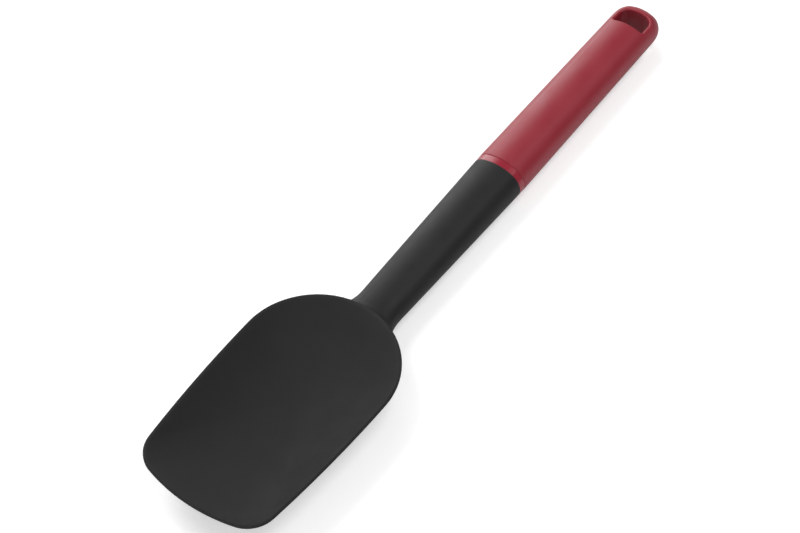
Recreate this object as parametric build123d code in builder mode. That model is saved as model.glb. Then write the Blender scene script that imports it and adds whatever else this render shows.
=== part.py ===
import os
from math import radians, tan

from build123d import *

# A scoop spatula lying face up along X, head tip at -X and handle end at +X.
# Z = 0 is the table that it lies on. Lengths are in millimetres.

# Head: outline of the rim, seen from above
head_length = 113.6
head_width = 68.2
tip_radius = 77.0
side_radius = 600.0
tip_corner_radius = 13.5

# Head: bowl and underside
bowl_centre_from_tip = 70.0
bowl_depth = 13.0
lip_width = 1.2
lip_height = 1.2
lip_bevel = 0.3
tip_rise = 1.93
rim_above_axis = 9.7

# Neck: tapered oval sleeve of the head moulding
neck_length = 94.0
neck_taper_angle = 1.6
neck_reach_under_bowl = 27.6
neck_flare_radius = 4.0

# Collar: bright band between neck and handle
collar_length = 3.6
parting_bevel = 0.3

# Handle
handle_length = 119.2
handle_width = 24.66
handle_height = 18.12
side_arc_drop = 0.72
grip_taper_angle = 0.33
end_cap_length = 12.0

# Hang hole: straight towards the head, bowed towards the handle's end
hole_length = 10.2
hole_width = 14.8
hole_end_wall = 6.4
hole_bow = 0.8
hole_far_corner_radius = 4.2
hole_near_corner_radius = 1.2
hole_rounding = 1.0

# Core: stiff blade in the head, rod in the neck and tang in the handle
blade_thickness = 2.2
blade_skin = 1.7
rod_width = 14.0
rod_height = 8.0
rod_corner_radius = 2.4
rod_reach_under_bowl = 8.0
drop_width = 9.0
tang_length = 66.0
tang_width = 16.6
tang_height = 10.8
tang_corner_radius = 2.4
tang_lead_in = 1.2
tang_clearance = 0.25
groove_width = 9.0
groove_depth = 3.4
groove_end_margin = 6.0
crush_rib_width = 1.2
socket_extra_depth = 18.0

# Shares of the sizes that they follow
full_corner_share = 0.396
bowl_shares = (1.0, 0.9, 0.75, 0.55, 0.32, 0.08)
underside_shares = (1.0, 0.9, 0.75, 0.55, 0.35, 0.2)
cap_shares = (0.0, 0.35, 0.65, 0.87, 0.97, 0.997)
blade_outline_share = 0.4
drop_end_share = 0.234

# Places along X and heights above the table
tool_length = head_length + neck_length + collar_length + handle_length
tip_x = -tool_length / 2
rear_x = tip_x + head_length
neck_end_x = rear_x + neck_length
handle_x = neck_end_x + collar_length
end_x = handle_x + handle_length
cap_x = end_x - end_cap_length
bowl_x = tip_x + bowl_centre_from_tip
axis_z = handle_height / 2
rim_slope = tip_rise / head_length
rim_z = axis_z + rim_above_axis + rim_slope * (head_length - bowl_centre_from_tip)
underside_depth = (rim_z - lip_height) / (1 - underside_shares[-1] ** 3)

rear_radius = head_width / 2
full_corner_radius = full_corner_share * head_width
shoulder = head_length - rear_radius - bowl_centre_from_tip


# The rim's outline, about the bowl's centre: long side arcs, a blunt tip and a half round
# rear. Smaller shares of it have relatively rounder corners, so that the bowl has no creases.
def outline_at(share, inset):
    corner_radius = tip_corner_radius + (full_corner_radius - tip_corner_radius) * (1 - share**2)
    with BuildSketch() as outline:
        with Locations((shoulder * share, (rear_radius - side_radius) * share)):
            Circle(side_radius * share)
        with Locations((shoulder * share, (side_radius - rear_radius) * share)):
            Circle(side_radius * share, mode=Mode.INTERSECT)
        with Locations(((tip_radius - bowl_centre_from_tip) * share, 0)):
            Circle(tip_radius * share, mode=Mode.INTERSECT)
        with Locations((shoulder * share, 0)):
            Rectangle(
                side_radius * share,
                side_radius * share,
                align=(Align.MIN, Align.CENTER),
                mode=Mode.SUBTRACT,
            )
            Circle(rear_radius * share)
        fillet(outline.vertices().group_by(Axis.X)[0], corner_radius * share)
        if inset:
            offset(amount=-inset * share)
    return outline.sketch


# A level of a dish: a plane below the rim or the lip that tilts less the deeper it lies
def level_plane(share, top, depth):
    rim = Plane(origin=(bowl_x, 0, rim_z), x_dir=(1, 0, -rim_slope), z_dir=(rim_slope, 0, 1))
    start = rim.offset(-top).origin
    slope = rim_slope * share**2
    origin = (start.X, 0, start.Z - depth)
    return Plane(origin=origin, x_dir=(1, 0, -slope), z_dir=(slope, 0, 1))


# The shrinking outlines that a dish is lofted through: power 2 is a paraboloid, 3 is fuller
def dish_levels(shares, inset, top, depth, power):
    levels = []
    for share in shares:
        with BuildSketch(level_plane(share, top, depth * (1 - share**power))) as level:
            add(outline_at(share, inset))
        levels.append(level.sketch)
    return levels


# Cross-section of neck, collar and handle: an oval of four tangent arcs, fuller than an ellipse
def oval(x, inset, width_share=1, height_share=1):
    half_width = (handle_width / 2 - inset) * width_share
    half_height = (handle_height / 2 - inset) * height_share
    side_arc = half_height - side_arc_drop
    side_centre = half_width - side_arc
    top_arc = (side_centre**2 + half_height**2 - side_arc**2) / (2 * side_arc_drop)
    joint_y = side_centre * top_arc / (top_arc - side_arc)
    joint_z = (top_arc - half_height) * side_arc / (top_arc - side_arc)
    with BuildSketch(Plane(origin=(x, 0, axis_z), x_dir=(0, 1, 0), z_dir=(1, 0, 0))) as section:
        with BuildLine():
            ThreePointArc((joint_y, -joint_z), (half_width, 0), (joint_y, joint_z))
            ThreePointArc((joint_y, joint_z), (0, half_height), (-joint_y, joint_z))
            ThreePointArc((-joint_y, joint_z), (-half_width, 0), (-joint_y, -joint_z))
            ThreePointArc((-joint_y, -joint_z), (0, -half_height), (joint_y, -joint_z))
        make_face()
    return section.sketch


# The handle's closed end: each section keeps a share of the full width and height
def cap_oval(share):
    plan_power = 2.75
    side_power = 2.4
    width_share = (1 - share**plan_power) ** (1 / plan_power)
    height_share = (1 - share**side_power) ** (1 / side_power)
    return oval(cap_x + share * end_cap_length, cap_inset, width_share, height_share)


# The opening that the tang fills, in the collar and the socket
def tang_opening(x):
    with BuildSketch(Plane(origin=(x, 0, axis_z), x_dir=(0, 1, 0), z_dir=(1, 0, 0))) as opening:
        RectangleRounded(
            tang_width + 2 * tang_clearance,
            tang_height + 2 * tang_clearance,
            tang_corner_radius + tang_clearance,
        )
    return opening.sketch


neck_root_x = rear_x - neck_reach_under_bowl
neck_end_inset = collar_length * tan(radians(neck_taper_angle))
cap_inset = (cap_x - handle_x) * tan(radians(grip_taper_angle))
hole_far_x = end_x - hole_end_wall
hole_near_x = hole_far_x - hole_length
blade_top_z = rim_z - bowl_depth - blade_skin
rod_end_x = rear_x - rod_reach_under_bowl
drop_end_x = bowl_x + drop_end_share * (rear_x - bowl_x)
underside_levels = dish_levels(underside_shares, 0, lip_height, underside_depth, 3)
bowl_levels = dish_levels(bowl_shares, lip_width, 0, bowl_depth, 2)

# Core: a flat blade under the bowl, a drop from it to the rod, and the tang
with BuildPart() as core:
    with BuildSketch(Plane((bowl_x, 0, blade_top_z - blade_thickness))):
        add(outline_at(blade_outline_share, 0))
    extrude(amount=blade_thickness)
    with BuildSketch(Plane.XZ) as drop:
        with BuildLine():
            Polyline(
                (rod_end_x, axis_z + rod_height / 2),
                (drop_end_x, blade_top_z),
                (drop_end_x, blade_top_z - blade_thickness / 2),
                (rod_end_x, axis_z - rod_height / 2),
                close=True,
            )
        make_face()
    extrude(amount=drop_width / 2, both=True)
    with BuildSketch(Plane(origin=(rod_end_x, 0, axis_z), x_dir=(0, 1, 0), z_dir=(1, 0, 0))):
        RectangleRounded(rod_width, rod_height, rod_corner_radius)
    extrude(amount=neck_end_x - rod_end_x)
    with BuildSketch(Plane(origin=(neck_end_x, 0, axis_z), x_dir=(0, 1, 0), z_dir=(1, 0, 0))):
        RectangleRounded(tang_width, tang_height, tang_corner_radius)
    extrude(amount=collar_length + tang_length)
    chamfer(core.faces().sort_by(Axis.X)[-1].edges(), tang_lead_in)
    # grooves that leave an I section, above and below
    groove_length = tang_length - 2 * groove_end_margin
    groove_x = handle_x + groove_end_margin + groove_length / 2
    with Locations(
        (groove_x, 0, axis_z + tang_height / 2 - groove_depth / 2),
        (groove_x, 0, axis_z - tang_height / 2 + groove_depth / 2),
    ):
        Box(groove_length, groove_width, groove_depth, mode=Mode.SUBTRACT)
    # crush ribs that fill the clearance in the collar and the socket
    rib_length = collar_length + tang_length - 2 * tang_lead_in
    rib_y = (groove_width / 2 + tang_width / 2 - tang_corner_radius) / 2
    with Locations((neck_end_x + rib_length / 2, 0, axis_z)):
        with GridLocations(0, 2 * rib_y, 1, 2):
            Box(rib_length, crush_rib_width, tang_height + 2 * tang_clearance)

# Head: one soft moulding of scoop and neck sleeve, moulded round the core
with BuildPart() as head:
    loft(sections=underside_levels)
    with BuildSketch(level_plane(1, 0, 0)):
        add(outline_at(1, 0))
    extrude(amount=-lip_height)
    extrude(
        oval(neck_end_x, neck_end_inset),
        amount=neck_end_x - neck_root_x,
        dir=(-1, 0, 0),
        taper=neck_taper_angle,
    )
    fillet(head.edges(Select.NEW), neck_flare_radius)
    loft(sections=bowl_levels, mode=Mode.SUBTRACT)
    lip = head.faces().filter_by(GeomType.PLANE).sort_by(Axis.Z)[-1]
    chamfer(lip.edges(), lip_bevel)
    add(core.part, mode=Mode.SUBTRACT)

# Collar: a bevel towards the handle makes half of the parting groove
with BuildPart() as collar:
    extrude(oval(handle_x, 0), amount=collar_length, dir=(-1, 0, 0), taper=neck_taper_angle)
    chamfer(collar.faces().sort_by(Axis.X)[-1].edges(), parting_bevel)
    extrude(tang_opening(neck_end_x), amount=collar_length, mode=Mode.SUBTRACT)

# Handle: a moulding with a closed, rounded end and a blind socket for the tang
with BuildPart() as handle:
    extrude(
        oval(handle_x, 0),
        amount=cap_x - handle_x,
        dir=(1, 0, 0),
        taper=grip_taper_angle,
    )
    chamfer(handle.faces().sort_by(Axis.X)[0].edges(), parting_bevel)
    loft(sections=[cap_oval(share) for share in cap_shares])
    with BuildSketch() as hang_hole:
        with BuildLine():
            Polyline(
                (hole_far_x - hole_bow, hole_width / 2),
                (hole_near_x, hole_width / 2),
                (hole_near_x, -hole_width / 2),
                (hole_far_x - hole_bow, -hole_width / 2),
            )
            ThreePointArc(
                (hole_far_x - hole_bow, -hole_width / 2),
                (hole_far_x, 0),
                (hole_far_x - hole_bow, hole_width / 2),
            )
        make_face()
        fillet(hang_hole.vertices().group_by(Axis.X)[0], hole_near_corner_radius)
        fillet(hang_hole.vertices().group_by(Axis.X)[-1], hole_far_corner_radius)
    extrude(amount=handle_height, mode=Mode.SUBTRACT)
    fillet(handle.edges(Select.NEW).filter_by(Axis.Z, reverse=True), hole_rounding)
    extrude(tang_opening(handle_x), amount=tang_length + socket_extra_depth, mode=Mode.SUBTRACT)

os.makedirs("parts", exist_ok=True)
head.part.label = "head"
export_step(head.part, "parts/head.step")
core.part.label = "core"
export_step(core.part, "parts/core.step")
collar.part.label = "collar"
export_step(collar.part, "parts/collar.step")
handle.part.label = "handle"
export_step(handle.part, "parts/handle.step")
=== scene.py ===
import math

import bmesh
import bpy
from mathutils import Matrix, Vector


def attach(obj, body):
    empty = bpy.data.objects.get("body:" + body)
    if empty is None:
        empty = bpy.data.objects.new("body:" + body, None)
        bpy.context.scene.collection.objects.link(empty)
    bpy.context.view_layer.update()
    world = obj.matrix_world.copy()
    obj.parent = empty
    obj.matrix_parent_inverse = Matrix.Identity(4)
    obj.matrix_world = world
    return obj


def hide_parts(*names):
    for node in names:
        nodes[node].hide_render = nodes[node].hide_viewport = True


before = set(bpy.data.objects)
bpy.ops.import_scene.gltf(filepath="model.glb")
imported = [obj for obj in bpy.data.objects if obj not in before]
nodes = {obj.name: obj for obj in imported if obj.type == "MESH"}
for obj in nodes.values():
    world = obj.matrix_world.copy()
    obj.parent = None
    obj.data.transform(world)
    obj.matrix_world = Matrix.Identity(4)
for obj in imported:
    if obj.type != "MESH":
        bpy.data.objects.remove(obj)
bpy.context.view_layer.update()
scene = bpy.context.scene
print("frame loaded:", sorted(nodes))


# camera, at the photograph's viewing angle
cameraSet = {
    "place": (-0.40047, -0.26959, 0.61967),
    "right": (0.58736, -0.80932, 0.0),
    "forward": (0.49270, 0.35758, -0.79334),
    "sensorWidth": 36.0,
    "focalPixels": 1841.5,
    "imageWidth": 800,
    "clip": (0.05, 20.0),
}


def placeCamera(s):
    data = bpy.data.cameras.new("camera")
    data.sensor_fit = "HORIZONTAL"
    data.sensor_width = s["sensorWidth"]
    data.lens = s["focalPixels"] / s["imageWidth"] * s["sensorWidth"]
    data.clip_start, data.clip_end = s["clip"]
    camera = bpy.data.objects.new("camera", data)
    scene.collection.objects.link(camera)
    right = Vector(s["right"]).normalized()
    back = -Vector(s["forward"]).normalized()
    up = back.cross(right)
    turn = Matrix((right, up, back)).transposed().to_4x4()
    camera.matrix_world = Matrix.Translation(s["place"]) @ turn
    scene.camera = camera


placeCamera(cameraSet)


# soft studio light: eight boxes round the tool, by azimuth and elevation in degrees
boxDistance = 1.3
lightSet = {
    "left": {"azimuth": 95, "elevation": 54, "width": 0.6, "height": 0.5, "watts": 5.8},
    "leftTip": {"azimuth": 140, "elevation": 50, "width": 0.8, "height": 0.5, "watts": 1.0},
    "farLeft": {"azimuth": 57, "elevation": 20, "width": 0.9, "height": 0.88, "watts": 9.4},
    "far": {"azimuth": 42, "elevation": 42, "width": 0.35, "height": 0.14, "watts": 0.3},
    "strip": {"azimuth": 335, "elevation": 49, "width": 0.45, "height": 0.3, "watts": 0.45},
    "tipLow": {"azimuth": 186, "elevation": 12, "width": 0.6, "height": 0.5, "watts": 4.0},
    "near": {"azimuth": 246, "elevation": 38, "width": 0.6, "height": 0.5, "watts": 2.4},
    "over": {"azimuth": 290, "elevation": 72, "width": 0.6, "height": 0.5, "watts": 5.4},
}
worldSet = {"seen": 1.0, "soft": 0.25}
white = (1, 1, 1, 1)


def placeLight(name, s):
    data = bpy.data.lights.new(name, "AREA")
    data.shape = "RECTANGLE"
    data.size = s["width"]
    data.size_y = s["height"]
    data.energy = s["watts"]
    light = bpy.data.objects.new(name, data)
    scene.collection.objects.link(light)
    azimuth = math.radians(s["azimuth"])
    elevation = math.radians(s["elevation"])
    level = math.cos(elevation)
    away = Vector((level * math.cos(azimuth), level * math.sin(azimuth), math.sin(elevation)))
    turn = (-away).to_track_quat("-Z", "Y").to_matrix().to_4x4()
    light.matrix_world = Matrix.Translation(away * boxDistance) @ turn


for lightName, settings in lightSet.items():
    placeLight(lightName, settings)


# node helpers
def addNode(tree, kind, inputs=None, **values):
    node = tree.nodes.new(kind)
    for key, value in values.items():
        setattr(node, key, value)
    for key, value in (inputs or {}).items():
        node.inputs[key].default_value = value
    return node


def newMaterial(name):
    material = bpy.data.materials.new(name)
    material.use_nodes = True
    tree = material.node_tree
    tree.nodes.clear()
    output = addNode(tree, "ShaderNodeOutputMaterial")
    return material, tree, output


def makeWorld(s):
    world = bpy.data.worlds.new("studio")
    scene.world = world
    world.use_nodes = True
    tree = world.node_tree
    tree.nodes.clear()
    output = addNode(tree, "ShaderNodeOutputWorld")
    seen = addNode(tree, "ShaderNodeBackground", {"Color": white, "Strength": s["seen"]})
    soft = addNode(tree, "ShaderNodeBackground", {"Color": white, "Strength": s["soft"]})
    path = addNode(tree, "ShaderNodeLightPath")
    mix = addNode(tree, "ShaderNodeMixShader")
    tree.links.new(path.outputs["Is Camera Ray"], mix.inputs[0])
    tree.links.new(soft.outputs[0], mix.inputs[1])
    tree.links.new(seen.outputs[0], mix.inputs[2])
    tree.links.new(mix.outputs[0], output.inputs["Surface"])


makeWorld(worldSet)
print("camera and lights set")


# floor: pale, lifted to white as the camera and the reflections see it, so that the shadow stays
floorSet = {"size": 6.0, "height": -0.0003, "color": (0.80, 0.80, 0.80, 1), "lift": 0.40, "glossLift": 0.06}


def makeFloor(s):
    mesh = bpy.data.meshes.new("floor")
    work = bmesh.new()
    lowered = Matrix.Translation((0, 0, s["height"]))
    bmesh.ops.create_grid(work, x_segments=1, y_segments=1, size=s["size"] / 2, matrix=lowered)
    work.to_mesh(mesh)
    work.free()
    floor = bpy.data.objects.new("floor", mesh)
    scene.collection.objects.link(floor)
    material, tree, output = newMaterial("floor")
    paint = addNode(tree, "ShaderNodeBsdfDiffuse", {"Color": s["color"]})
    lift = addNode(tree, "ShaderNodeEmission", {"Color": white})
    path = addNode(tree, "ShaderNodeLightPath")
    seen = addNode(tree, "ShaderNodeMath", {1: s["lift"]}, operation="MULTIPLY")
    mirrored = addNode(tree, "ShaderNodeMath", {1: s["glossLift"]}, operation="MULTIPLY_ADD")
    both = addNode(tree, "ShaderNodeAddShader")
    tree.links.new(path.outputs["Is Camera Ray"], seen.inputs[0])
    tree.links.new(path.outputs["Is Glossy Ray"], mirrored.inputs[0])
    tree.links.new(seen.outputs[0], mirrored.inputs[2])
    tree.links.new(mirrored.outputs[0], lift.inputs["Strength"])
    tree.links.new(paint.outputs[0], both.inputs[0])
    tree.links.new(lift.outputs[0], both.inputs[1])
    tree.links.new(both.outputs[0], output.inputs["Surface"])
    mesh.materials.append(material)


makeFloor(floorSet)


# grain of moulded plastic and rubber: fine pits, and faint mottling that also varies the roughness
grainSet = {
    "pits": {"Detail": 3.0, "Roughness": 0.55},
    "mottle": {"Detail": 4.0, "Roughness": 0.6},
    "spread": {"From Min": 0.3, "From Max": 0.7},
}


def makeGrainGroup(s):
    group = bpy.data.node_groups.new("mouldedGrain", "ShaderNodeTree")
    face = group.interface
    face.new_socket("Vector", in_out="INPUT", socket_type="NodeSocketVector")
    for name in ("Pit Scale", "Mottle Scale", "Rough Low", "Rough High"):
        face.new_socket(name, in_out="INPUT", socket_type="NodeSocketFloat")
    for name in ("Tone", "Roughness", "Height"):
        face.new_socket(name, in_out="OUTPUT", socket_type="NodeSocketFloat")
    start = addNode(group, "NodeGroupInput")
    end = addNode(group, "NodeGroupOutput")
    pits = addNode(group, "ShaderNodeTexNoise", s["pits"])
    mottle = addNode(group, "ShaderNodeTexNoise", s["mottle"])
    rough = addNode(group, "ShaderNodeMapRange", s["spread"])
    group.links.new(start.outputs["Vector"], pits.inputs["Vector"])
    group.links.new(start.outputs["Vector"], mottle.inputs["Vector"])
    group.links.new(start.outputs["Pit Scale"], pits.inputs["Scale"])
    group.links.new(start.outputs["Mottle Scale"], mottle.inputs["Scale"])
    group.links.new(mottle.outputs["Fac"], rough.inputs["Value"])
    group.links.new(start.outputs["Rough Low"], rough.inputs["To Min"])
    group.links.new(start.outputs["Rough High"], rough.inputs["To Max"])
    group.links.new(mottle.outputs["Fac"], end.inputs["Tone"])
    group.links.new(rough.outputs[0], end.inputs["Roughness"])
    group.links.new(pits.outputs["Fac"], end.inputs["Height"])
    return group


grainGroup = makeGrainGroup(grainSet)


# the bowl has a rougher skin than the neck, from the root of the neck to the tip
def rougherBowl(tree, spot, grain, s):
    place = addNode(tree, "ShaderNodeSeparateXYZ")
    bowl = addNode(tree, "ShaderNodeMapRange", {
        "From Min": s["neckX"], "From Max": s["bowlX"], "To Min": 0.0, "To Max": s["rougher"],
    })
    total = addNode(tree, "ShaderNodeMath", operation="ADD")
    tree.links.new(spot.outputs["Object"], place.inputs[0])
    tree.links.new(place.outputs["X"], bowl.inputs["Value"])
    tree.links.new(grain.outputs["Roughness"], total.inputs[0])
    tree.links.new(bowl.outputs[0], total.inputs[1])
    return total.outputs[0]


def mouldedMaterial(name, s):
    material, tree, output = newMaterial(name)
    shader = addNode(tree, "ShaderNodeBsdfPrincipled", s["shader"])
    spot = addNode(tree, "ShaderNodeTexCoord")
    grain = addNode(tree, "ShaderNodeGroup", node_tree=grainGroup)
    for key, value in s["grain"].items():
        grain.inputs[key].default_value = value
    tint = addNode(tree, "ShaderNodeMix", data_type="RGBA")
    tint.inputs["A"].default_value = s["dark"]
    tint.inputs["B"].default_value = s["light"]
    bump = addNode(tree, "ShaderNodeBump", {"Strength": s["bump"], "Distance": s["pitDepth"]})
    tree.links.new(spot.outputs["Object"], grain.inputs["Vector"])
    tree.links.new(grain.outputs["Tone"], tint.inputs["Factor"])
    tree.links.new(tint.outputs["Result"], shader.inputs["Base Color"])
    if "bowl" in s:
        tree.links.new(rougherBowl(tree, spot, grain, s["bowl"]), shader.inputs["Roughness"])
    else:
        tree.links.new(grain.outputs["Roughness"], shader.inputs["Roughness"])
    tree.links.new(grain.outputs["Height"], bump.inputs["Height"])
    tree.links.new(bump.outputs["Normal"], shader.inputs["Normal"])
    tree.links.new(shader.outputs[0], output.inputs["Surface"])
    return material


def dress(nodeName, material):
    mesh = nodes[nodeName].data
    mesh.materials.clear()
    mesh.materials.append(material)


# matte charcoal silicone
siliconeSet = {
    "dark": (0.0148, 0.0148, 0.0150, 1),
    "light": (0.0192, 0.0192, 0.0192, 1),
    "bump": 0.35,
    "pitDepth": 0.00006,
    "grain": {"Pit Scale": 2600.0, "Mottle Scale": 90.0, "Rough Low": 0.42, "Rough High": 0.54},
    "bowl": {"neckX": -0.048, "bowlX": -0.060, "rougher": 0.23},
    "shader": {"IOR": 1.42, "Specular IOR Level": 0.23},
}

# satin red grip
gripSet = {
    "dark": (0.240, 0.0095, 0.0215, 1),
    "light": (0.272, 0.0130, 0.0265, 1),
    "bump": 0.30,
    "pitDepth": 0.00005,
    "grain": {"Pit Scale": 2300.0, "Mottle Scale": 70.0, "Rough Low": 0.40, "Rough High": 0.50},
    "shader": {"IOR": 1.50},
}

# polished ring of the same red
collarSet = {
    "dark": (0.255, 0.012, 0.026, 1),
    "light": (0.285, 0.016, 0.032, 1),
    "bump": 0.04,
    "pitDepth": 0.00005,
    "grain": {"Pit Scale": 700.0, "Mottle Scale": 60.0, "Rough Low": 0.20, "Rough High": 0.25},
    "shader": {"IOR": 1.50},
}

# nylon of the hidden core
coreSet = {
    "dark": (0.030, 0.030, 0.030, 1),
    "light": (0.045, 0.045, 0.045, 1),
    "bump": 0.20,
    "pitDepth": 0.00005,
    "grain": {"Pit Scale": 1500.0, "Mottle Scale": 120.0, "Rough Low": 0.45, "Rough High": 0.60},
    "shader": {"IOR": 1.52},
}

# silicone head: the CAD's own shape, with its neck swept wider where it runs in under the rim
headSet = {
    "rimEnd": -0.0516,
    "rimRadius": 0.0341,
    "neckEnd": 0.0424,
    "neckHalf": 0.0097,
    "widerRoot": 0.057,
    "sweepLength": 0.0105,
    "sweepRadius": 0.0150,
    "mostSweep": 0.45,
    "deepestShare": 0.9,
    "cutStep": 0.001,
    "cutReach": 0.000001,
    "mergeReach": 0.000002,
    "lowSweep": 0.62,
    "lowHeights": (0.0055, 0.0125),
    "fade": (0.018, 0.030),
    "sideShare": 1.3,
    "sideReach": 1.25,
    "sharpAngle": 32,
}


def easeBetween(low, high, value):
    part = min(max((value - low) / (high - low), 0.0), 1.0)
    return part * part * (3 - 2 * part)


# the neck widens as an angle about the rim's centre, so that the bowl's walls slide along themselves
def sweptPlace(place, s):
    centre = s["rimEnd"] - s["rimRadius"]
    along = place.x - centre
    radius = math.hypot(along, place.y)
    if along <= 0 or radius < s["fade"][0]:
        return place.copy()
    deepest = s["deepestShare"] * s["sweepRadius"]
    inward = min(max(s["rimRadius"] + s["sweepLength"] - radius, 0.0), deepest)
    sweep = s["sweepRadius"] - math.sqrt(s["sweepRadius"] ** 2 - inward ** 2)
    sweep *= s["lowSweep"] + (1 - s["lowSweep"]) * easeBetween(*s["lowHeights"], place.z)
    gain = min(sweep / s["neckHalf"], s["mostSweep"])
    gain += s["widerRoot"] * min(max((s["neckEnd"] - place.x) / (s["neckEnd"] - s["rimEnd"]), 0.0), 1.0)
    angle = math.atan2(place.y, along)
    neckSide = math.asin(min(s["sideShare"] * s["neckHalf"] / radius, 1.0))
    gain *= easeBetween(*s["fade"], radius) * (1 - easeBetween(neckSide, s["sideReach"], abs(angle)))
    angle *= 1 + gain
    return Vector((centre + radius * math.cos(angle), radius * math.sin(angle), place.z))


def makeHead(s):
    mesh = nodes["head"].data.copy()
    head = bpy.data.objects.new("siliconeHead", mesh)
    scene.collection.objects.link(head)
    work = bmesh.new()
    work.from_mesh(mesh)
    bmesh.ops.remove_doubles(work, verts=work.verts, dist=s["mergeReach"])
    centre = s["rimEnd"] - s["rimRadius"]
    cutFrom = s["fade"][0] * math.cos(s["sideReach"])
    steps = int((s["rimRadius"] + s["sweepLength"] - cutFrom) / s["cutStep"])
    for step in range(steps + 1):
        spot = (centre + cutFrom + step * s["cutStep"], 0, 0)
        geometry = work.verts[:] + work.edges[:] + work.faces[:]
        bmesh.ops.bisect_plane(work, geom=geometry, dist=s["cutReach"], plane_co=spot, plane_no=(1, 0, 0))
    for vert in work.verts:
        vert.co = sweptPlace(vert.co, s)
    work.to_mesh(mesh)
    work.free()
    mesh.materials.clear()
    mesh.materials.append(mouldedMaterial("silicone", siliconeSet))
    mesh.shade_smooth()
    mesh.set_sharp_from_angle(angle=math.radians(s["sharpAngle"]))
    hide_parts("head")
    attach(head, "root")


makeHead(headSet)
print("head shaped")
dress("handle", mouldedMaterial("grip", gripSet))
dress("collar", mouldedMaterial("collar", collarSet))
dress("core", mouldedMaterial("core", coreSet))
print("materials set")

scene.view_settings.view_transform = "Standard"
